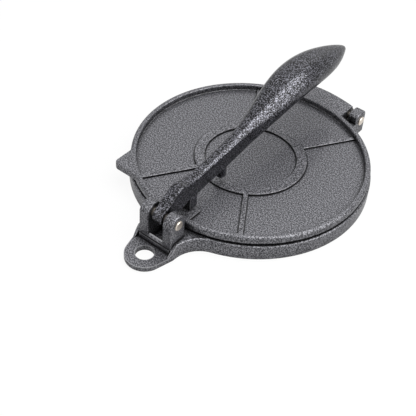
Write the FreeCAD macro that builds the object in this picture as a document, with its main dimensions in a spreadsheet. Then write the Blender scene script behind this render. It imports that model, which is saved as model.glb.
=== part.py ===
import FreeCAD, Part
import math
import os

import Sketcher

# Lever press for flattening dough balls: a round cast base, a hinged cast top plate, and a cast lever
# whose foot bears on the front of the top plate.  Millimetres, +Z up.
# X runs along both hinge axes, -Y is the front with the lever's pivot and the hanging tab, and +Y is
# the back with the plate hinge.  The origin is the centre of the base disc, on the resting plane.

# Driving sizes, as alias and value.
SIZES = (
    # Base: a shallow dish, open below, whose rim carries the top plate.
    ("base_diameter", 160.0),
    ("base_height", 11.0),
    ("base_rim_width", 3.2),
    ("base_recess", 2.6),
    ("base_web", 4.6),
    ("base_skirt_width", 4.0),
    ("base_edge_round", 1.0),
    # Neck in front of the base: it carries the lever's ears and ends in a thin hanging tab.
    ("neck_width", 30.4),
    ("neck_overlap", 0.8),
    ("neck_fillet", 20.0),
    ("cheek_slope", 6.4),
    ("cheek_setback", 2.9),
    ("cheek_gap", 0.4),
    ("tab_shoulder", 10.0),
    ("tab_hole_offset", 24.2),
    ("tab_hole_diameter", 12.0),
    ("tab_wall", 6.6),
    ("tab_thickness", 4.0),
    ("tab_edge_round", 0.8),
    ("step_height", 3.0),
    ("step_depth", 0.7),
    ("step_inset", 0.8),
    # Slot between the ears, and the low lip in front of it.
    ("slot_depth", 6.4),
    ("slot_clearance", 1.1),
    ("lip_width", 1.6),
    # Lever pivot, its ears and its pin: how far out of the base's edge and over its rim.
    ("pivot_offset", 8.9),
    ("pivot_rise", 13.0),
    ("ear_radius", 6.4),
    ("ear_gap", 11.4),
    ("ear_width", 7.1),
    ("ear_round", 1.0),
    ("pin_diameter", 6.5),
    ("pin_stand", 1.1),
    ("pin_chamfer", 0.5),
    ("held_clearance", 0.02),
    ("running_clearance", 0.05),
    # Plate hinge: two lugs on the base and one long knuckle on the plate.
    ("hinge_offset", 7.0),
    ("hinge_rise", 0.2),
    ("lug_length", 12.0),
    ("lug_rise", 6.4),
    ("lug_corner", 3.2),
    ("lug_clearance", 2.2),
    ("lug_width", 7.3),
    ("lug_overlap", 0.2),
    ("lug_round", 1.0),
    ("knuckle_radius", 5.6),
    ("knuckle_width", 44.0),
    ("knuckle_back", 6.0),
    ("knuckle_slab", 4.7),
    ("knuckle_round", 1.0),
    # Top plate: web, boss that enters the base's recess, rim, ring and ribs.
    ("plate_inset", 1.0),
    ("plate_gap", 1.5),
    ("boss_clearance", 0.8),
    ("plate_web", 3.7),
    ("rim_width", 3.6),
    ("rim_height", 4.0),
    ("rim_round", 1.7),
    ("rim_inner_round", 0.8),
    ("rim_foot_round", 0.8),
    ("rim_under_round", 0.6),
    ("ring_inner", 61.0),
    ("ring_outer", 74.4),
    ("ring_height", 1.4),
    ("ring_round", 0.5),
    ("rib_height", 1.2),
    ("rib_round", 0.4),
    ("under_rib_height", 1.6),
    ("rib_width", 3.0),
    ("rib_angle", 32.4),
    ("rib_overlap", 1.5),
    # Square ear at the front left, by which the plate is lifted.
    ("lift_side", 18.4),
    ("lift_front", 12.0),
    ("lift_corner", 3.6),
    ("lift_thickness", 5.3),
    ("lift_round", 0.8),
    ("rim_drop", 0.1),
    # Pad that the lever's foot bears on.
    ("bearing_width", 17.0),
    ("bearing_reach", 26.3),
    ("bearing_height", 1.1),
    # Lever: cam with its foot and stud, measured from the pivot.
    ("cam_width", 7.6),
    ("cam_round", 0.9),
    ("cam_knuckle", 5.2),
    ("cam_lobe", 8.4),
    ("cam_lobe_reach", 14.8),
    ("cam_lobe_rise", 6.3),
    ("foot_gap", 0.3),
    ("foot_reach", 21.8),
    ("foot_length", 6.9),
    ("foot_round", 1.4),
    ("stud_reach", 56.4),
    ("stud_diameter", 7.0),
    ("stud_drop", 5.2),
    ("stud_round", 2.2),
)

# Cross-sections of the arm and grip, each in a plane across the lever: name, reach from the pivot,
# rise of its centre over the pivot, width, depth and corner radius.
SECTIONS = (
    ("root", 16.4, 7.3, 7.4, 14.4, 1.4),
    ("arm", 32.0, 6.5, 7.1, 13.8, 1.6),
    ("waist", 51.0, 9.2, 7.4, 14.2, 1.9),
    ("throat", 69.0, 12.6, 8.8, 14.9, 2.9),
    ("swell", 85.0, 17.2, 12.4, 16.2, 5.0),
    ("shoulder", 101.0, 23.0, 19.4, 17.6, 7.6),
    ("palm_front", 119.0, 28.8, 24.8, 18.8, 8.8),
    ("palm", 137.0, 31.0, 26.2, 19.2, 9.0),
    ("palm_back", 155.0, 30.0, 24.2, 18.0, 8.5),
    ("taper", 171.0, 27.9, 18.6, 15.2, 7.2),
    ("tip", 183.0, 26.6, 11.2, 10.4, 4.9),
    ("tip_end", 190.6, 26.1, 4.6, 4.4, 2.0),
)
SECTION_SIZES = ("reach", "rise", "width", "depth", "corner")

# The four ribs of a plate, as the sign of the rib angle and the half turn that puts a pair in front.
RIBS = {"back_right": (-1, 0), "back_left": (1, 0), "front_left": (-1, 180), "front_right": (1, 180)}

doc = FreeCAD.newDocument("lever_press")
sheet = doc.addObject("Spreadsheet::Sheet", "dim")

# Lengths that several features share, as expressions of the sheet.  Reaches are from the centre of
# the base, and heights from the table unless a line says otherwise.
BASE_RADIUS = "(dim.base_diameter / 2)"
RECESS_RADIUS = "(dim.base_diameter / 2 - dim.base_rim_width)"
SKIRT_RADIUS = "(dim.base_diameter / 2 - dim.base_skirt_width)"
RECESS_FLOOR = "(dim.base_height - dim.base_recess)"
CAVITY_TOP = "(dim.base_height - dim.base_recess - dim.base_web)"
HALF_NECK = "(dim.neck_width / 2)"
PIVOT_REACH = "(dim.base_diameter / 2 + dim.pivot_offset)"
PIVOT_HEIGHT = "(dim.base_height + dim.pivot_rise)"
NECK_FRONT = "(dim.base_diameter / 2 + dim.pivot_offset + dim.ear_radius)"
TAB_REACH = "(dim.base_diameter / 2 + dim.tab_hole_offset)"
TAB_RADIUS = "(dim.tab_hole_diameter / 2 + dim.tab_wall)"
EAR_INSIDE = "(dim.ear_gap / 2)"
EAR_OUTSIDE = "(dim.ear_gap / 2 + dim.ear_width)"
HINGE_REACH = "(dim.base_diameter / 2 + dim.hinge_offset)"
HINGE_HEIGHT = "(dim.base_height + dim.hinge_rise)"
LUG_TOP = "(dim.base_height + dim.hinge_rise + dim.lug_rise)"
HALF_KNUCKLE = "(dim.knuckle_width / 2)"
LUG_INSIDE = "(dim.knuckle_width / 2 + dim.lug_clearance)"
LUG_OUTSIDE = "(dim.knuckle_width / 2 + dim.lug_clearance + dim.lug_width)"
PLATE_RADIUS = "(dim.base_diameter / 2 - dim.plate_inset)"
RIM_MIDDLE = "(dim.base_diameter / 2 - dim.plate_inset - dim.rim_width / 2)"
RIM_INSIDE = "(dim.base_diameter / 2 - dim.plate_inset - dim.rim_width)"
BOSS_RADIUS = "(dim.base_diameter / 2 - dim.base_rim_width - dim.boss_clearance)"
PLATE_HEIGHT = "(dim.base_height + dim.plate_gap)"
# Heights on the top plate, from the underside of its rim.
PLATE_FLOOR = "(dim.plate_web - dim.base_recess)"
RIM_TOP = "(dim.plate_web - dim.base_recess + dim.rim_height)"
RING_MIDDLE = "((dim.ring_inner + dim.ring_outer) / 4)"
RING_WIDTH = "((dim.ring_outer - dim.ring_inner) / 2)"
SLAB_TOP = "(dim.plate_web - dim.base_recess + dim.rim_height - dim.rim_drop)"
HINGE_ON_PLATE = "(dim.hinge_rise - dim.plate_gap)"
# Sole of the lever's foot, from the pivot.
SOLE = ("(dim.plate_gap + dim.plate_web - dim.base_recess + dim.bearing_height + dim.foot_gap"
        " - dim.pivot_rise)")

# Sketcher's names for the parts of a line, and for the two sketch axes.
START, END, CENTRE = range(1, 4)
H_AXIS = ROOT_POINT = -START
V_AXIS = -END
HALF_TURN = math.pi
QUARTER_TURN = math.pi / 2


def value(expression):
    """Number that an expression of the sheet gives."""
    return float(sheet.evalExpression(expression))


def fill_sheet():
    rows = list(SIZES)
    for name, *sizes in SECTIONS:
        rows += [("%s_%s" % (name, key), size) for key, size in zip(SECTION_SIZES, sizes)]
    for row, (alias, size) in enumerate(rows, start=1):
        sheet.set("A%d" % row, alias)
        sheet.set("B%d" % row, str(size))
        sheet.setAlias("B%d" % row, alias)
    doc.recompute()


def new_body(name):
    body = doc.addObject("PartDesign::Body", name)
    body.Label = name
    return body


def new_sketch(body, name, plane, offset=None, turn=None):
    """Sketch on an origin plane of the body, moved along its normal and turned about it."""
    sketch = body.newObject("Sketcher::SketchObject", name)
    support = next(item for item in body.Origin.OriginFeatures if item.Role == plane)
    sketch.AttachmentSupport = [(support, "")]
    sketch.MapMode = "FlatFace"
    if offset:
        sketch.setExpression("AttachmentOffset.Base.z", offset)
    if turn:
        sketch.AttachmentOffset = FreeCAD.Placement(
            FreeCAD.Vector(), FreeCAD.Rotation(FreeCAD.Vector(0, 0, 1), 1))
        sketch.setExpression("AttachmentOffset.Rotation.Angle", turn)
    return sketch


def dimension(sketch, kind, expression, *where):
    """One dimensional constraint, bound to an expression of the sheet."""
    number = sketch.addConstraint(Sketcher.Constraint(kind, *where, value(expression)))
    sketch.setExpression("Constraints[%d]" % number, expression)


def pin_point(sketch, line, end, across, up):
    """Fix a point of the sketch; a coordinate of 0 lies on the sketch's own axis."""
    for kind, expression, axis in (("DistanceX", across, V_AXIS), ("DistanceY", up, H_AXIS)):
        if expression == "0":
            sketch.addConstraint(Sketcher.Constraint("PointOnObject", line, end, axis))
        else:
            dimension(sketch, kind, expression, line, end)


def draw_polygon(sketch, corners):
    """Closed polygon through corners given as pairs of expressions."""
    points = [FreeCAD.Vector(value(across), value(up), 0) for across, up in corners]
    count = len(points)
    for index in range(count):
        sketch.addGeometry(Part.LineSegment(points[index], points[(index + 1) % count]), False)
    for index in range(count):
        sketch.addConstraint(Sketcher.Constraint("Coincident", index, END, (index + 1) % count, START))
    for index, (across, up) in enumerate(corners):
        pin_point(sketch, index, START, across, up)


def draw_circle(sketch, across, up, radius):
    centre = FreeCAD.Vector(value(across), value(up), 0)
    number = sketch.addGeometry(Part.Circle(centre, FreeCAD.Vector(0, 0, 1), value(radius)), False)
    dimension(sketch, "Radius", radius, number)
    pin_point(sketch, number, CENTRE, across, up)


def draw_arch(sketch, across, up, radius, foot):
    """Upright bar whose top is a half circle about (across, up), standing on the level foot."""
    x, y, r, low = (value(item) for item in (across, up, radius, foot))
    centre = FreeCAD.Vector(x, y, 0)
    circle = Part.Circle(centre, FreeCAD.Vector(0, 0, 1), r)
    sketch.addGeometry(Part.ArcOfCircle(circle, 0, HALF_TURN), False)
    corners = [FreeCAD.Vector(x - r, y, 0), FreeCAD.Vector(x - r, low, 0),
               FreeCAD.Vector(x + r, low, 0), FreeCAD.Vector(x + r, y, 0)]
    for first, second in zip(corners, corners[1:]):
        sketch.addGeometry(Part.LineSegment(first, second), False)
    rules = [("Tangent", 0, END, 1, START), ("Coincident", 1, END, 2, START),
             ("Coincident", 2, END, 3, START), ("Tangent", 3, END, 0, START),
             ("Vertical", 1), ("Horizontal", 2)]
    for rule in rules:
        sketch.addConstraint(Sketcher.Constraint(*rule))
    dimension(sketch, "Radius", radius, 0)
    pin_point(sketch, 0, CENTRE, across, up)
    dimension(sketch, "DistanceY", foot, 2, START)


def draw_round_rectangle(sketch, across, up, width, depth, corner):
    """Rectangle with round corners about (across, up)."""
    half, tall, r = value(width) / 2, value(depth) / 2, value(corner)
    middle = FreeCAD.Vector(value(across), value(up), 0)
    lines = [((half, r - tall), (half, tall - r)), ((half - r, tall), (r - half, tall)),
             ((-half, tall - r), (-half, r - tall)), ((r - half, -tall), (half - r, -tall))]
    centres = [(half - r, tall - r), (r - half, tall - r), (r - half, r - tall), (half - r, r - tall)]
    for number, ((start, end), centre) in enumerate(zip(lines, centres)):
        ends = [middle + FreeCAD.Vector(*point, 0) for point in (start, end)]
        sketch.addGeometry(Part.LineSegment(*ends), False)
        circle = Part.Circle(middle + FreeCAD.Vector(*centre, 0), FreeCAD.Vector(0, 0, 1), r)
        first, last = number * QUARTER_TURN, (number + 1) * QUARTER_TURN
        sketch.addGeometry(Part.ArcOfCircle(circle, first, last), False)
    right, top, left, bottom = 0, 2, 4, 6
    for side in (right, top, left, bottom):
        corner_arc, next_side = side + 1, (side + 2) % 8
        sketch.addConstraint(Sketcher.Constraint("Tangent", side, END, corner_arc, START))
        sketch.addConstraint(Sketcher.Constraint("Tangent", corner_arc, END, next_side, START))
    for side in (right, left):
        sketch.addConstraint(Sketcher.Constraint("Vertical", side))
    for side in (top, bottom):
        sketch.addConstraint(Sketcher.Constraint("Horizontal", side))
    for arc in (3, 5, 7):
        sketch.addConstraint(Sketcher.Constraint("Equal", 1, arc))
    dimension(sketch, "Radius", corner, 1)
    dimension(sketch, "DistanceX", "%s + %s / 2" % (across, width), right, START)
    dimension(sketch, "DistanceX", "%s - %s / 2" % (across, width), left, START)
    dimension(sketch, "DistanceY", "%s + %s / 2" % (up, depth), top, START)
    dimension(sketch, "DistanceY", "%s - %s / 2" % (up, depth), bottom, START)


def finish(body, feature):
    """Make a feature the body's last one, and compute it."""
    body.Tip = feature
    doc.recompute()
    return feature


def pad(body, sketch, length, both_ways=False):
    feature = body.newObject("PartDesign::Pad", sketch.Name + "_pad")
    feature.Profile = sketch
    feature.setExpression("Length", length)
    feature.Midplane = both_ways
    return finish(body, feature)


def pocket(body, sketch, length=None, both_ways=False, upward=False):
    """Cut a sketch out of the body, right through it where no length is given."""
    before = body.Shape.Volume
    feature = body.newObject("PartDesign::Pocket", sketch.Name + "_cut")
    feature.Profile = sketch
    feature.Type = "Length" if length else "ThroughAll"
    if length:
        feature.setExpression("Length", length)
    feature.Midplane = both_ways
    feature.Reversed = upward
    finish(body, feature)
    if body.Shape.Volume >= before:
        raise ValueError("%s cuts nothing" % feature.Name)
    return feature


def revolve(body, sketch):
    feature = body.newObject("PartDesign::Revolution", sketch.Name + "_turned")
    feature.Profile = sketch
    feature.ReferenceAxis = (sketch, ["V_Axis"])
    feature.Angle = 360
    return finish(body, feature)


def fillet(body, name, radius, chosen):
    """Round the edges of the body's last feature that the test picks."""
    tip = body.Tip
    edges = ["Edge%d" % number for number, edge in enumerate(tip.Shape.Edges, start=1) if chosen(edge)]
    if not edges:
        raise ValueError("%s finds no edge" % name)
    feature = body.newObject("PartDesign::Fillet", name)
    feature.Base = (tip, edges)
    feature.setExpression("Radius", radius)
    return finish(body, feature)


def chamfer(body, name, size, chosen):
    tip = body.Tip
    edges = ["Edge%d" % number for number, edge in enumerate(tip.Shape.Edges, start=1) if chosen(edge)]
    feature = body.newObject("PartDesign::Chamfer", name)
    feature.Base = (tip, edges)
    feature.setExpression("Size", size)
    return finish(body, feature)


def near(first, second, within=0.01):
    return abs(first - second) < within


def is_circle(edge, radius, height):
    """True for a level full circle or arc of this radius and height about the Z axis."""
    curve = edge.Curve
    if not isinstance(curve, Part.Circle) or not near(curve.Radius, radius):
        return False
    centre = curve.Center
    return near(abs(curve.Axis.z), 1) and near(centre.x, 0) and near(centre.y, 0) and near(centre.z, height)


def lies_at(edge, **limits):
    """True where the whole edge lies at these coordinates, such as z=4."""
    box = edge.BoundBox
    spans = {"x": (box.XMin, box.XMax), "y": (box.YMin, box.YMax), "z": (box.ZMin, box.ZMax)}
    return all(near(spans[axis][0], at) and near(spans[axis][1], at) for axis, at in limits.items())


def reaches(edge):
    """Distances of the edge's ends from the Z axis."""
    return [FreeCAD.Vector(point.X, point.Y, 0).Length for point in edge.Vertexes]


def make_ribs(body, name, level, height, rib_end):
    """Four ribs that run out from the ring about the plate's middle."""
    inner = "(dim.ring_outer / 2 - dim.rib_overlap)"
    side = "dim.rib_width / 2"
    for place, (sign, half_turn) in RIBS.items():
        rib = new_sketch(body, "%s_rib_%s" % (name, place), "XY_Plane", offset=level,
                         turn="%d * dim.rib_angle + %d" % (sign, half_turn))
        draw_polygon(rib, [(side, inner), (side, rib_end), ("-" + side, rib_end), ("-" + side, inner)])
        pad(body, rib, height)


def draw_annular_bar(sketch, half_width, inner, outer):
    """Upright bar between two arcs about the origin."""
    across = value(half_width)
    ends = [(value(radius) ** 2 - across ** 2) ** 0.5 for radius in (inner, outer)]
    for radius, end in zip((inner, outer), ends):
        circle = Part.Circle(FreeCAD.Vector(), FreeCAD.Vector(0, 0, 1), value(radius))
        angle = FreeCAD.Vector(across, end, 0).getAngle(FreeCAD.Vector(1, 0, 0))
        sketch.addGeometry(Part.ArcOfCircle(circle, angle, HALF_TURN - angle), False)
    for side in (across, -across):
        points = [FreeCAD.Vector(side, end, 0) for end in ends]
        sketch.addGeometry(Part.LineSegment(*points), False)
    inner_arc, outer_arc, right, left = range(4)
    rules = [("Coincident", right, START, inner_arc, START), ("Coincident", right, END, outer_arc, START),
             ("Coincident", left, START, inner_arc, END), ("Coincident", left, END, outer_arc, END),
             ("Vertical", right), ("Vertical", left)]
    for arc in (inner_arc, outer_arc):
        rules.append(("Coincident", arc, CENTRE, ROOT_POINT, START))
    for rule in rules:
        sketch.addConstraint(Sketcher.Constraint(*rule))
    dimension(sketch, "Radius", inner, inner_arc)
    dimension(sketch, "Radius", outer, outer_arc)
    dimension(sketch, "DistanceX", half_width, right, START)
    dimension(sketch, "DistanceX", "-" + half_width, left, START)


def draw_cam(sketch):
    """Knuckle about the pivot and lobe beyond it, joined by their outer tangents."""
    lobe = FreeCAD.Vector(value("dim.cam_lobe_reach"), value("dim.cam_lobe_rise"), 0)
    small, large = value("dim.cam_knuckle"), value("dim.cam_lobe")
    heading = lobe.getAngle(FreeCAD.Vector(1, 0, 0))
    spread = math.acos((small - large) / lobe.Length)
    top, bottom = heading + spread, heading - spread
    knuckle = Part.Circle(FreeCAD.Vector(), FreeCAD.Vector(0, 0, 1), small)
    round_lobe = Part.Circle(lobe, FreeCAD.Vector(0, 0, 1), large)
    knuckle_arc = Part.ArcOfCircle(knuckle, top, bottom + 2 * HALF_TURN)
    lobe_arc = Part.ArcOfCircle(round_lobe, bottom, top)
    sketch.addGeometry(knuckle_arc, False)
    sketch.addGeometry(Part.LineSegment(knuckle_arc.EndPoint, lobe_arc.StartPoint), False)
    sketch.addGeometry(lobe_arc, False)
    sketch.addGeometry(Part.LineSegment(lobe_arc.EndPoint, knuckle_arc.StartPoint), False)
    for first in range(4):
        rule = Sketcher.Constraint("Tangent", first, END, (first + 1) % 4, START)
        sketch.addConstraint(rule)
    sketch.addConstraint(Sketcher.Constraint("Coincident", 0, CENTRE, ROOT_POINT, START))
    dimension(sketch, "Radius", "dim.cam_knuckle", 0)
    dimension(sketch, "Radius", "dim.cam_lobe", 2)
    pin_point(sketch, 2, CENTRE, "dim.cam_lobe_reach", "dim.cam_lobe_rise")


def draw_neck(sketch):
    """Neck from inside the base's edge, tapering past the ears to the tab's round end."""
    half, front, middle, end = (value(item) for item in (HALF_NECK, NECK_FRONT, TAB_REACH, TAB_RADIUS))
    root = value("sqrt(%s^2 - %s^2) - dim.neck_overlap" % (BASE_RADIUS, HALF_NECK))
    shoulder = FreeCAD.Vector(half, middle - front, 0)
    angle = shoulder.getAngle(FreeCAD.Vector(1, 0, 0)) - math.acos(end / shoulder.Length)
    circle = Part.Circle(FreeCAD.Vector(0, -middle, 0), FreeCAD.Vector(0, 0, 1), end)
    round_end = Part.ArcOfCircle(circle, HALF_TURN - angle, 2 * HALF_TURN + angle)
    corners = [FreeCAD.Vector(-half, -front, 0), FreeCAD.Vector(-half, -root, 0),
               FreeCAD.Vector(half, -root, 0), FreeCAD.Vector(half, -front, 0)]
    ends = [round_end.StartPoint] + corners + [round_end.EndPoint]
    for first, second in zip(ends, ends[1:]):
        sketch.addGeometry(Part.LineSegment(first, second), False)
    sketch.addGeometry(round_end, False)
    left_taper, left_side, root_line, right_side, right_taper, tab_arc = range(6)
    for line in (left_taper, left_side, root_line, right_side):
        sketch.addConstraint(Sketcher.Constraint("Coincident", line, END, line + 1, START))
    sketch.addConstraint(Sketcher.Constraint("Tangent", right_taper, END, tab_arc, END))
    sketch.addConstraint(Sketcher.Constraint("Tangent", left_taper, START, tab_arc, START))
    dimension(sketch, "Radius", TAB_RADIUS, tab_arc)
    pin_point(sketch, tab_arc, CENTRE, "0", "-" + TAB_REACH)
    level = "-(sqrt(%s^2 - %s^2) - dim.neck_overlap)" % (BASE_RADIUS, HALF_NECK)
    pin_point(sketch, left_side, START, "-" + HALF_NECK, "-" + NECK_FRONT)
    pin_point(sketch, root_line, START, "-" + HALF_NECK, level)
    pin_point(sketch, right_side, START, HALF_NECK, level)
    pin_point(sketch, right_taper, START, HALF_NECK, "-" + NECK_FRONT)


def cut_bore(body, name, across, up, clearance):
    """Bore for a pin, along X through the whole body."""
    bore = new_sketch(body, name, "YZ_Plane")
    draw_circle(bore, across, up, "dim.pin_diameter / 2 + " + clearance)
    pocket(body, bore, both_ways=True)


def both_sides(body, name, draw, inside, width):
    """The same upright profile on the right and on the left, from inside outwards along X."""
    right = new_sketch(body, name + "_right", "YZ_Plane", offset=inside)
    draw(right)
    pad(body, right, width)
    left = new_sketch(body, name + "_left", "YZ_Plane", offset="-%s - %s" % (inside, width))
    draw(left)
    pad(body, left, width)


def make_base_plate():
    body = new_body("base_plate")

    section = new_sketch(body, "dish_section", "XZ_Plane")
    draw_polygon(section, [
        ("0", CAVITY_TOP), (SKIRT_RADIUS, CAVITY_TOP), (SKIRT_RADIUS, "0"), (BASE_RADIUS, "0"),
        (BASE_RADIUS, "dim.base_height"), (RECESS_RADIUS, "dim.base_height"),
        (RECESS_RADIUS, RECESS_FLOOR), ("0", RECESS_FLOOR)])
    revolve(body, section)

    # The neck and the tab's round end, at full height until the front is cut down.
    neck = new_sketch(body, "neck_outline", "XY_Plane")
    draw_neck(neck)
    pad(body, neck, "dim.base_height")
    meeting = value("sqrt(%s^2 - %s^2)" % (BASE_RADIUS, HALF_NECK))
    fillet(body, "neck_fillets", "dim.neck_fillet",
           lambda edge: edge.BoundBox.ZLength > 1 and near(edge.BoundBox.YMax, -meeting)
           and near(edge.BoundBox.YMin, -meeting))
    half_neck, neck_front = value(HALF_NECK), value(NECK_FRONT)
    fillet(body, "shoulder_rounds", "dim.tab_shoulder",
           lambda edge: near(abs(edge.BoundBox.XMin), half_neck) and lies_at(edge, y=-neck_front))
    height = value("dim.base_height")
    rim_middle = value("(dim.base_diameter - dim.base_rim_width) / 2")
    fillet(body, "outline_rounds", "dim.base_edge_round",
           lambda edge: (lies_at(edge, z=height) or lies_at(edge, z=0)) and min(reaches(edge)) > rim_middle)

    # The front is cut down to the thin tab, between cheeks that slope down on both sides.
    relief = new_sketch(body, "tab_relief", "YZ_Plane")
    cheek_top = "-(%s - dim.cheek_setback)" % NECK_FRONT
    cheek_foot = "-(%s - dim.cheek_setback + dim.cheek_slope)" % NECK_FRONT
    past_tab = "-(%s + 2 * %s)" % (TAB_REACH, TAB_RADIUS)
    draw_polygon(relief, [
        (cheek_top, "2 * dim.base_height"), (cheek_top, "dim.base_height"), (cheek_foot, "dim.tab_thickness"),
        (past_tab, "dim.tab_thickness"), (past_tab, "2 * dim.base_height")])
    pocket(body, relief, both_ways=True)
    front = new_sketch(body, "neck_front", "XY_Plane", offset="2 * dim.base_height")
    front_side = "(%s + dim.cheek_gap)" % EAR_OUTSIDE
    draw_polygon(front, [
        ("-" + front_side, "-" + NECK_FRONT), ("-" + front_side, past_tab), (front_side, past_tab),
        (front_side, "-" + NECK_FRONT)])
    pocket(body, front, "2 * dim.base_height - dim.tab_thickness")
    step = new_sketch(body, "neck_step", "XY_Plane", offset="dim.tab_thickness")
    step_side = "(%s - dim.step_inset)" % EAR_OUTSIDE
    step_front = "-(%s + dim.step_depth)" % NECK_FRONT
    draw_polygon(step, [
        ("-" + step_side, "-" + NECK_FRONT), ("-" + step_side, step_front), (step_side, step_front),
        (step_side, "-" + NECK_FRONT)])
    pad(body, step, "dim.step_height")

    # Ears for the lever's pin, with a slot between them that is open at the top.
    def draw_ear(sketch):
        draw_arch(sketch, "-" + PIVOT_REACH, PIVOT_HEIGHT, "dim.ear_radius", "dim.tab_thickness")
    both_sides(body, "ear", draw_ear, EAR_INSIDE, "dim.ear_width")
    inside, outside, knuckle = value(EAR_INSIDE), value(EAR_OUTSIDE), value("dim.ear_radius")
    fillet(body, "ear_rounds", "dim.ear_round",
           lambda edge: edge.BoundBox.ZMax > height + knuckle and edge.BoundBox.YMax < 0
           and near(edge.BoundBox.XLength, 0) and edge.BoundBox.ZLength > 1
           and (near(abs(edge.BoundBox.XMin), inside) or near(abs(edge.BoundBox.XMin), outside)))
    slot = new_sketch(body, "slot", "XY_Plane", offset="dim.base_height")
    slot_root = "-(%s - dim.cam_knuckle - dim.slot_clearance)" % PIVOT_REACH
    lip = "-(%s - dim.lip_width)" % NECK_FRONT
    draw_polygon(slot, [
        ("-" + EAR_INSIDE, slot_root), ("-" + EAR_INSIDE, lip), (EAR_INSIDE, lip), (EAR_INSIDE, slot_root)])
    pocket(body, slot, "dim.slot_depth")

    # Lugs at the back, each on a bridge from the rim.
    def draw_bridge(sketch):
        root = "(sqrt(%s^2 - %s^2) - dim.lug_overlap)" % (BASE_RADIUS, LUG_OUTSIDE)
        draw_polygon(sketch, [
            (root, "0"), (HINGE_REACH, "0"), (HINGE_REACH, "dim.base_height"), (root, "dim.base_height")])
    both_sides(body, "bridge", draw_bridge, LUG_INSIDE, "dim.lug_width")

    def draw_lug(sketch):
        front, back = "(%s - dim.lug_length / 2)" % HINGE_REACH, "(%s + dim.lug_length / 2)" % HINGE_REACH
        draw_polygon(sketch, [(front, "0"), (back, "0"), (back, LUG_TOP), (front, LUG_TOP)])
    both_sides(body, "lug", draw_lug, LUG_INSIDE, "dim.lug_width")
    lug_inside, lug_outside, lug_top = value(LUG_INSIDE), value(LUG_OUTSIDE), value(LUG_TOP)
    fillet(body, "lug_corners", "dim.lug_corner",
           lambda edge: lies_at(edge, z=lug_top) and near(edge.BoundBox.YLength, 0))
    fillet(body, "lug_rounds", "dim.lug_round",
           lambda edge: near(edge.BoundBox.XLength, 0) and edge.BoundBox.ZMax > height + 1
           and edge.BoundBox.YMin > 0
           and (near(abs(edge.BoundBox.XMin), lug_inside) or near(abs(edge.BoundBox.XMin), lug_outside)))

    tab_hole = new_sketch(body, "tab_hole", "XY_Plane", offset="dim.base_height")
    draw_circle(tab_hole, "0", "-" + TAB_REACH, "dim.tab_hole_diameter / 2")
    pocket(body, tab_hole)
    cut_bore(body, "lever_pin_bore", "-" + PIVOT_REACH, PIVOT_HEIGHT, "dim.held_clearance")
    cut_bore(body, "hinge_pin_bore", HINGE_REACH, HINGE_HEIGHT, "dim.held_clearance")
    # Ring and ribs under the web.
    under = CAVITY_TOP + " - dim.under_rib_height"
    ring = new_sketch(body, "under_ring", "XY_Plane", offset=under)
    draw_circle(ring, "0", "0", "dim.ring_outer / 2")
    draw_circle(ring, "0", "0", "dim.ring_inner / 2")
    pad(body, ring, "dim.under_rib_height")
    make_ribs(body, "under", under, "dim.under_rib_height", "(%s + dim.rib_overlap)" % SKIRT_RADIUS)
    return body


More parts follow.
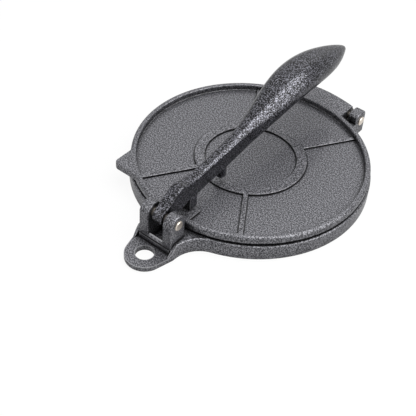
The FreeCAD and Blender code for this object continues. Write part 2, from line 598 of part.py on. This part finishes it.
def make_top_plate():
    body = new_body("top_plate")
    body.setExpression("Placement.Base.z", PLATE_HEIGHT)

    section = new_sketch(body, "tray_section", "XZ_Plane")
    draw_polygon(section, [
        ("0", "-dim.base_recess"), (BOSS_RADIUS, "-dim.base_recess"), (BOSS_RADIUS, "0"), (PLATE_RADIUS, "0"),
        (PLATE_RADIUS, RIM_TOP), (RIM_INSIDE, RIM_TOP), (RIM_INSIDE, PLATE_FLOOR), ("0", PLATE_FLOOR)])
    revolve(body, section)
    edge_radius, inside_radius, rim_top = value(PLATE_RADIUS), value(RIM_INSIDE), value(RIM_TOP)
    fillet(body, "rim_crown", "dim.rim_round", lambda edge: is_circle(edge, edge_radius, rim_top))
    fillet(body, "rim_inner_edge", "dim.rim_inner_round", lambda edge: is_circle(edge, inside_radius, rim_top))
    fillet(body, "rim_under_edge", "dim.rim_under_round", lambda edge: is_circle(edge, edge_radius, 0))
    floor = value(PLATE_FLOOR)
    fillet(body, "rim_foot", "dim.rim_foot_round", lambda edge: is_circle(edge, inside_radius, floor))

    # Ribs on the tray's floor, and the ring that they start from.
    make_ribs(body, "tray", PLATE_FLOOR, "dim.rib_height", RIM_MIDDLE)
    rib_top, rib_width = value("%s + dim.rib_height" % PLATE_FLOOR), value("dim.rib_width")
    fillet(body, "rib_edges", "dim.rib_round",
           lambda edge: lies_at(edge, z=rib_top) and edge.Length > 2 * rib_width)
    ring = new_sketch(body, "tray_ring", "XZ_Plane")
    draw_round_rectangle(ring, RING_MIDDLE, PLATE_FLOOR, RING_WIDTH, "2 * dim.ring_height", "dim.ring_round")
    revolve(body, ring)

    # Ear to lift the plate by.
    ear = new_sketch(body, "lift_outline", "XY_Plane", offset="%s - dim.lift_thickness" % SLAB_TOP)
    side, front = "(%s - dim.lift_side)" % PLATE_RADIUS, "(%s - dim.lift_front)" % PLATE_RADIUS
    draw_polygon(ear, [
        ("-" + side, "-" + front), ("-sqrt(%s^2 - %s^2)" % (RIM_MIDDLE, front), "-" + front),
        ("-" + side, "-sqrt(%s^2 - %s^2)" % (RIM_MIDDLE, side))])
    pad(body, ear, "dim.lift_thickness")
    fillet(body, "lift_corner_round", "dim.lift_corner",
           lambda edge: lies_at(edge, x=-value(side), y=-value(front)))
    slab_top = value(SLAB_TOP)
    slab_under = slab_top - value("dim.lift_thickness")
    fillet(body, "lift_rounds", "dim.lift_round",
           lambda edge: (lies_at(edge, z=slab_top) or lies_at(edge, z=slab_under))
           and edge.BoundBox.YMax < 0 and max(reaches(edge)) > edge_radius + 1)

    # Hinge block: a slab over the rim, and the knuckle under it.
    slab = new_sketch(body, "hinge_slab", "XY_Plane", offset="%s - dim.knuckle_slab" % SLAB_TOP)
    draw_annular_bar(slab, HALF_KNUCKLE, RIM_MIDDLE, "(%s + dim.knuckle_back)" % HINGE_REACH)
    pad(body, slab, "dim.knuckle_slab")
    knuckle = new_sketch(body, "hinge_knuckle", "YZ_Plane")
    draw_circle(knuckle, HINGE_REACH, HINGE_ON_PLATE, "dim.knuckle_radius")
    pad(body, knuckle, "dim.knuckle_width", both_ways=True)
    fillet(body, "hinge_rounds", "dim.knuckle_round",
           lambda edge: lies_at(edge, z=slab_top) and edge.BoundBox.YMin > 0 and edge.BoundBox.YMax > edge_radius)

    bearing = new_sketch(body, "bearing_pad", "XY_Plane", offset=PLATE_FLOOR)
    pad_side = "(dim.bearing_width / 2)"
    pad_back = "-(%s - dim.bearing_reach)" % PIVOT_REACH
    draw_polygon(bearing, [
        ("-" + pad_side, pad_back), ("-" + pad_side, "-" + RIM_MIDDLE), (pad_side, "-" + RIM_MIDDLE),
        (pad_side, pad_back)])
    pad(body, bearing, "dim.bearing_height")
    cut_bore(body, "hinge_bore", HINGE_REACH, HINGE_ON_PLATE, "dim.running_clearance")
    return body


def make_lever():
    body = new_body("lever")
    body.setExpression("Placement.Base.y", "-" + PIVOT_REACH)
    body.setExpression("Placement.Base.z", PIVOT_HEIGHT)

    cam = new_sketch(body, "cam", "YZ_Plane")
    draw_cam(cam)
    pad(body, cam, "dim.cam_width", both_ways=True)
    flank = value("dim.cam_width / 2")
    fillet(body, "cam_edges", "dim.cam_round", lambda edge: near(abs(edge.BoundBox.XMin), flank)
           and near(edge.BoundBox.XLength, 0))

    loft = body.newObject("PartDesign::AdditiveLoft", "arm_and_grip")
    sections = []
    for name, *_ in SECTIONS:
        section = new_sketch(body, name + "_section", "XZ_Plane", offset="-dim.%s_reach" % name)
        draw_round_rectangle(section, "0", *("dim.%s_%s" % (name, key) for key in SECTION_SIZES[1:]))
        sections.append(section)
    doc.recompute()
    loft.Profile = sections[0]
    loft.Sections = sections[1:]
    finish(body, loft)

    foot = new_sketch(body, "foot", "YZ_Plane")
    foot_back = "dim.foot_reach + dim.foot_length"
    draw_polygon(foot, [
        ("dim.foot_reach", SOLE), (foot_back, SOLE), (foot_back, "dim.cam_lobe_rise"),
        ("dim.foot_reach", "dim.cam_lobe_rise")])
    pad(body, foot, "dim.cam_width", both_ways=True)

    stud = new_sketch(body, "stud", "XY_Plane", offset="-dim.stud_drop")
    draw_circle(stud, "0", "dim.stud_reach", "dim.stud_diameter / 2")
    pad(body, stud, "dim.stud_drop + dim.waist_rise")
    sole, stud_foot = value(SOLE), value("-dim.stud_drop")
    fillet(body, "stud_end", "dim.stud_round", lambda edge: lies_at(edge, z=stud_foot))
    fillet(body, "sole_rounds", "dim.foot_round",
           lambda edge: lies_at(edge, z=sole) and edge.BoundBox.XLength > 1)
    cut_bore(body, "lever_bore", "0", "0", "dim.running_clearance")
    return body


def make_pin(name, reach, height, half_length):
    """Pin along X whose chamfered ends stand out of the piece that holds it."""
    body = new_body(name)
    body.setExpression("Placement.Base.y", reach)
    body.setExpression("Placement.Base.z", height)
    section = new_sketch(body, name + "_section", "YZ_Plane")
    draw_circle(section, "0", "0", "dim.pin_diameter / 2")
    pad(body, section, "2 * (%s + dim.pin_stand)" % half_length, both_ways=True)
    chamfer(body, name + "_ends", "dim.pin_chamfer", lambda edge: isinstance(edge.Curve, Part.Circle))
    return body


def write_parts(bodies):
    """Check every object and write one file for each piece."""
    doc.recompute()
    broken = [item.Name for item in doc.Objects if "Invalid" in item.State or "Error" in item.State]
    if broken:
        raise ValueError("failed features: " + ", ".join(broken))
    os.makedirs("parts", exist_ok=True)
    for body in bodies:
        shape = body.Shape
        if shape.isNull() or not shape.isValid() or len(shape.Solids) != 1:
            raise ValueError("%s is not one valid solid" % body.Label)
        shape.exportStep("parts/%s.step" % body.Label)


fill_sheet()
write_parts([
    make_base_plate(),
    make_top_plate(),
    make_lever(),
    make_pin("lever_pin", "-" + PIVOT_REACH, PIVOT_HEIGHT, EAR_OUTSIDE),
    make_pin("hinge_pin", HINGE_REACH, HINGE_HEIGHT, LUG_OUTSIDE),
])
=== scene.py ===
import math

import bpy
from mathutils import Matrix, Vector

MM = 0.001

# Camera: where it stands, its axes and its lens.
CAMERA_PLACE = Vector((254.9, -388.9, 405.4)) * MM
CAMERA_RIGHT = Vector((0.773842, 0.631293, 0.051362))
CAMERA_UP = Vector((-0.464453, 0.510450, 0.723688))
CAMERA_BACK = Vector((0.430641, -0.583875, 0.688213))
CAMERA_LENS = 79.36
CAMERA_SENSOR = 36.0

# Hammered powder coat: a cured skin full of metal flake, drawn up into pits and ridges that each
# catch or lose the light, under a thin clear gloss. Its real flake and pits are too fine to show,
# and are drawn twice as coarse. Seen at a grazing angle the flake has less sheen than bare metal.
COAT_COARSENED = 2
COAT_FLAKE = 0.40 * MM * COAT_COARSENED
COAT_PIT = 0.45 * MM * COAT_COARSENED
COAT_RELIEF = 0.04 * MM * COAT_COARSENED
COAT_DETAIL = 2.0
FLAKE_FINENESS = 0.6
PIT_FINENESS = 0.55
PIT_WANDER = 0.6
TONE_STOPS = (0.40, 0.50, 0.62)
COAT_METALLIC = 0.85
GRAZING_SHEEN = "#CBCBCB"
CLEAR_GLOSS = 0.3
CLEAR_GLOSS_ROUGHNESS = 0.10

# Tones run from the darkest flake to the lightest. The lever's coat is darker and glossier.
PLATE_TONES = ("#2C2C2F", "#58585C", "#8C8C91")
PLATE_ROUGHNESS = 0.52
LEVER_TONES = ("#080809", "#19191C", "#787880")
LEVER_ROUGHNESS = 0.28

# Turned steel rod: warm bright metal, a little uneven where it was cut and dressed. The real tool
# marks are too fine to show, and are drawn four times as coarse.
STEEL_COLOUR = "#CFC6BB"
STEEL_ROUGHNESS = 0.32
TOOL_MARK_COARSENED = 4
TOOL_MARK = 0.2 * MM * TOOL_MARK_COARSENED
TOOL_MARK_DEPTH = 0.0125 * MM * TOOL_MARK_COARSENED
TOOL_MARK_DETAIL = 4.0
TOOL_MARK_STRENGTH = 0.4

# Painted shade and lighter edges, by how closed in a spot is: how far off a wall still counts, the
# open share at which the tone begins, the open share at which it is full, and how much of it there
# then is. The dark tone is painted shade in crevices, in hollows and under the lever, and where the
# pins sit. An edge is a spot that is closed in when it is looked at from inside the metal; its
# light tone is partly worn coat and partly painted highlight.
HOLLOW_PAINTED_SHADE = (9 * MM, 0.80, 0.35, 0.75)
CREVICE_PAINTED_SHADE = (1.3 * MM, 0.97, 0.74, 1.0)
EDGE_WEAR_AND_HIGHLIGHT = (0.80 * MM, 0.84, 0.62, 1.0)
PIN_SEAT_PAINTED_SHADE = (4 * MM, 0.75, 0.30, 1.0)
# Dark tone of the painted shade; light tone of the edges, partly worn coat and partly painted
# highlight.
PAINTED_SHADE_TONE = "#161617"
WORN_EDGE_AND_HIGHLIGHT_TONE = "#959598"
OCCLUSION_SAMPLES = 6

# Sockets of a colour Mix node, which share their names with others.
MIX_SHARE, MIX_FROM, MIX_TO, MIX_RESULT = 0, 6, 7, 2

# Table: seen plainly it is nearly pure white, and fully so past the reach of the press's shadow.
# It lies a hair under the press, so that no two faces coincide.
WHITE = "#FFFFFF"
TABLE_COLOUR = "#F9F9F9"
TABLE_SIZE = 6.0
TABLE_GAP = 0.2 * MM
TABLE_PLAINNESS = 0.92
SHADOW_FADES = 0.3
SHADOW_ENDS = 0.9

# Studio: even light all round, where 1 is white, and square panels that face the press, each with
# its name, direction, distance and size in metres, and brightness against white.
WORLD_LIGHT = 0.25
PLAIN_LIGHT = 1.0
SOFT_BOXES = (
    ("back panel", (-0.43, 0.58, 0.69), 1.5, 1.3, 0.4),
    ("top panel", (0.28, 0.10, 0.95), 1.5, 1.5, 3.5),
    ("right panel", (0.9, 0.2, 0.36), 1.3, 0.9, 2.9),
    ("front lamp", (-0.5, -0.6, 0.6), 1.4, 0.4, 2.5),
)


def linear(text):
    """Linear colour with alpha of an sRGB hex colour."""
    parts = [int(text[i:i + 2], 16) / 255 for i in (1, 3, 5)]
    return tuple(
        c / 12.92 if c <= 0.04045 else ((c + 0.055) / 1.055) ** 2.4 for c in parts) + (1.0,)


def add_node(tree, kind, inputs=(), **settings):
    """A node with its settings, its sockets' values and its links."""
    node = tree.nodes.new(kind)
    for name, setting in settings.items():
        setattr(node, name, setting)
    for socket, source in dict(inputs).items():
        if isinstance(source, bpy.types.NodeSocket):
            tree.links.new(source, node.inputs[socket])
        else:
            node.inputs[socket].default_value = source
    return node


def new_material(name):
    """An empty material and its node tree."""
    material = bpy.data.materials.new(name)
    material.use_nodes = True
    tree = material.node_tree
    tree.nodes.clear()
    return material, tree


def tone_where_closed(tree, colour, tone, spot, **looking):
    """The colour, turning to the tone in spots that are closed in."""
    reach, begins, full, most = spot
    openness = add_node(tree, "ShaderNodeAmbientOcclusion", {"Distance": reach},
                        samples=OCCLUSION_SAMPLES, **looking)
    share = add_node(tree, "ShaderNodeMapRange", {
        "Value": openness.outputs["AO"], "From Min": begins, "From Max": full, "To Max": most})
    toned = add_node(tree, "ShaderNodeMix", {
        MIX_SHARE: share.outputs["Result"], MIX_FROM: colour, MIX_TO: linear(tone)},
        data_type="RGBA")
    return toned.outputs[MIX_RESULT]


def hammered_powder_coat(name, tones, roughness):
    """Grey flake-filled coat on cast aluminium, with painted shade in its crevices and hollows, and
    edges lightened partly as worn coat and partly as painted highlight.
    """
    material, tree = new_material(name)
    place = add_node(tree, "ShaderNodeTexCoord").outputs["Object"]
    flake = add_node(tree, "ShaderNodeTexNoise", {
        "Vector": place, "Scale": 1 / COAT_FLAKE, "Detail": COAT_DETAIL,
        "Roughness": FLAKE_FINENESS})
    pits = add_node(tree, "ShaderNodeTexNoise", {
        "Vector": place, "Scale": 1 / COAT_PIT, "Detail": COAT_DETAIL,
        "Roughness": PIT_FINENESS, "Distortion": PIT_WANDER})
    bump = add_node(tree, "ShaderNodeBump", {
        "Height": pits.outputs["Fac"], "Strength": 1.0, "Distance": COAT_RELIEF})

    tint = add_node(tree, "ShaderNodeValToRGB", {"Fac": flake.outputs["Fac"]})
    stops = tint.color_ramp.elements
    stops.new(TONE_STOPS[1])
    for stop, position, tone in zip(stops, TONE_STOPS, tones):
        stop.position = position
        stop.color = linear(tone)

    # Painted shade in crevices, where nearby walls close the spot in.
    colour = tone_where_closed(tree, tint.outputs["Color"], PAINTED_SHADE_TONE, CREVICE_PAINTED_SHADE, only_local=True)
    # Lighter edges: partly worn coat, partly a painted highlight along the edges.
    colour = tone_where_closed(tree, colour, WORN_EDGE_AND_HIGHLIGHT_TONE, EDGE_WEAR_AND_HIGHLIGHT, only_local=True, inside=True)
    # Painted shade in hollows, between the ears and under the lever, where it stands in for the
    # lever's shadow.
    colour = tone_where_closed(tree, colour, PAINTED_SHADE_TONE, HOLLOW_PAINTED_SHADE)

    shader = add_node(tree, "ShaderNodeBsdfPrincipled", {
        "Base Color": colour, "Metallic": COAT_METALLIC, "Roughness": roughness,
        "Specular Tint": linear(GRAZING_SHEEN), "Coat Weight": CLEAR_GLOSS,
        "Coat Roughness": CLEAR_GLOSS_ROUGHNESS, "Normal": bump.outputs["Normal"]})
    add_node(tree, "ShaderNodeOutputMaterial", {"Surface": shader.outputs["BSDF"]})
    return material


def turned_steel():
    """Turned steel rod with its ends cut and dressed, with painted shade where it sits in a
    casting.
    """
    material, tree = new_material("turned steel")
    place = add_node(tree, "ShaderNodeTexCoord").outputs["Object"]
    marks = add_node(tree, "ShaderNodeTexNoise", {
        "Vector": place, "Scale": 1 / TOOL_MARK, "Detail": TOOL_MARK_DETAIL})
    bump = add_node(tree, "ShaderNodeBump", {
        "Height": marks.outputs["Fac"], "Strength": TOOL_MARK_STRENGTH,
        "Distance": TOOL_MARK_DEPTH})
    # Painted shade where the pin sits in a casting: the steel darkens as its seat closes it in.
    colour = tone_where_closed(tree, linear(STEEL_COLOUR), PAINTED_SHADE_TONE, PIN_SEAT_PAINTED_SHADE)
    shader = add_node(tree, "ShaderNodeBsdfPrincipled", {
        "Base Color": colour, "Metallic": 1.0, "Roughness": STEEL_ROUGHNESS,
        "Normal": bump.outputs["Normal"]})
    add_node(tree, "ShaderNodeOutputMaterial", {"Surface": shader.outputs["BSDF"]})
    return material


def seen_plainly(tree):
    """1 for rays that show the studio to the camera, straight, in a reflection or through glass."""
    path = add_node(tree, "ShaderNodeLightPath").outputs
    seen = path["Is Camera Ray"]
    for kind in ("Is Glossy Ray", "Is Transmission Ray"):
        either = add_node(tree, "ShaderNodeMath", {0: seen, 1: path[kind]}, operation="MAXIMUM")
        seen = either.outputs["Value"]
    return seen


def white_table():
    """Matt white table, on which only a faint shadow shows."""
    material, tree = new_material("white table")
    matt = add_node(tree, "ShaderNodeBsdfDiffuse", {"Color": linear(TABLE_COLOUR)})
    plain = add_node(tree, "ShaderNodeEmission", {
        "Color": linear(WHITE), "Strength": PLAIN_LIGHT})
    place = add_node(tree, "ShaderNodeTexCoord").outputs["Object"]
    away = add_node(tree, "ShaderNodeVectorMath", {0: place}, operation="LENGTH")
    plainness = add_node(tree, "ShaderNodeMapRange", {
        "Value": away.outputs["Value"], "From Min": SHADOW_FADES, "From Max": SHADOW_ENDS,
        "To Min": TABLE_PLAINNESS, "To Max": 1.0})
    share = add_node(tree, "ShaderNodeMath", {
        0: seen_plainly(tree), 1: plainness.outputs["Result"]}, operation="MULTIPLY")
    mixed = add_node(tree, "ShaderNodeMixShader", {
        0: share.outputs["Value"], 1: matt.outputs["BSDF"], 2: plain.outputs["Emission"]})
    add_node(tree, "ShaderNodeOutputMaterial", {"Surface": mixed.outputs["Shader"]})
    return material


def dress(node, material):
    """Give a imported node's object its finish."""
    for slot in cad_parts[node].material_slots:
        slot.material = material


def set_table():
    """Wide white table for the press to stand on."""
    bpy.ops.mesh.primitive_plane_add(size=TABLE_SIZE, location=(0, 0, -TABLE_GAP))
    table = bpy.context.object
    table.name = "table"
    table.data.materials.append(white_table())


def set_world():
    """Even studio light all round, and plain white wherever the background is seen."""
    world = bpy.data.worlds.new("studio")
    bpy.context.scene.world = world
    world.use_nodes = True
    tree = world.node_tree
    tree.nodes.clear()
    light = add_node(tree, "ShaderNodeBackground", {
        "Color": linear(WHITE), "Strength": WORLD_LIGHT})
    plain = add_node(tree, "ShaderNodeBackground", {
        "Color": linear(WHITE), "Strength": PLAIN_LIGHT})
    mixed = add_node(tree, "ShaderNodeMixShader", {
        0: seen_plainly(tree), 1: light.outputs["Background"], 2: plain.outputs["Background"]})
    add_node(tree, "ShaderNodeOutputWorld", {"Surface": mixed.outputs["Shader"]})


def add_soft_box(name, towards, distance, size, brightness):
    """Square panel that faces the press and that the camera doesn't see."""
    lamp = bpy.data.lights.new(name, "AREA")
    lamp.size = size
    lamp.energy = brightness * math.pi * size ** 2
    box = bpy.data.objects.new(name, lamp)
    way = Vector(towards).normalized()
    box.location = way * distance
    box.rotation_euler = (-way).to_track_quat("-Z", "Y").to_euler()
    box.visible_camera = False
    bpy.context.scene.collection.objects.link(box)


def set_camera():
    """Camera in front of the press and to its right, looking down on it."""
    optics = bpy.data.cameras.new("camera")
    optics.sensor_width = CAMERA_SENSOR
    optics.lens = CAMERA_LENS
    camera = bpy.data.objects.new("camera", optics)
    axes = Matrix((CAMERA_RIGHT, CAMERA_UP, CAMERA_BACK)).transposed()
    camera.matrix_world = Matrix.Translation(CAMERA_PLACE) @ axes.to_4x4()
    bpy.context.scene.collection.objects.link(camera)
    bpy.context.scene.camera = camera


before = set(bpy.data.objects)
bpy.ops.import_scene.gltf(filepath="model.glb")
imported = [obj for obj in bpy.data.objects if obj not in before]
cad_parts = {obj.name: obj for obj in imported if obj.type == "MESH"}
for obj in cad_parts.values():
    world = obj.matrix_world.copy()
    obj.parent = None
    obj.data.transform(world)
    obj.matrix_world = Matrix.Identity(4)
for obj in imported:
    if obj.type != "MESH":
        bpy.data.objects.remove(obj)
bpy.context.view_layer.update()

plate_coat = hammered_powder_coat("hammered powder coat", PLATE_TONES, PLATE_ROUGHNESS)
lever_coat = hammered_powder_coat("dark hammered powder coat", LEVER_TONES, LEVER_ROUGHNESS)
steel = turned_steel()
for casting in ("base_plate", "top_plate"):
    dress(casting, plate_coat)
dress("lever", lever_coat)
for pin in ("lever_pin", "hinge_pin"):
    dress(pin, steel)

set_table()
set_world()
for soft_box in SOFT_BOXES:
    add_soft_box(*soft_box)
set_camera()
bpy.context.scene.view_settings.view_transform = "Standard"
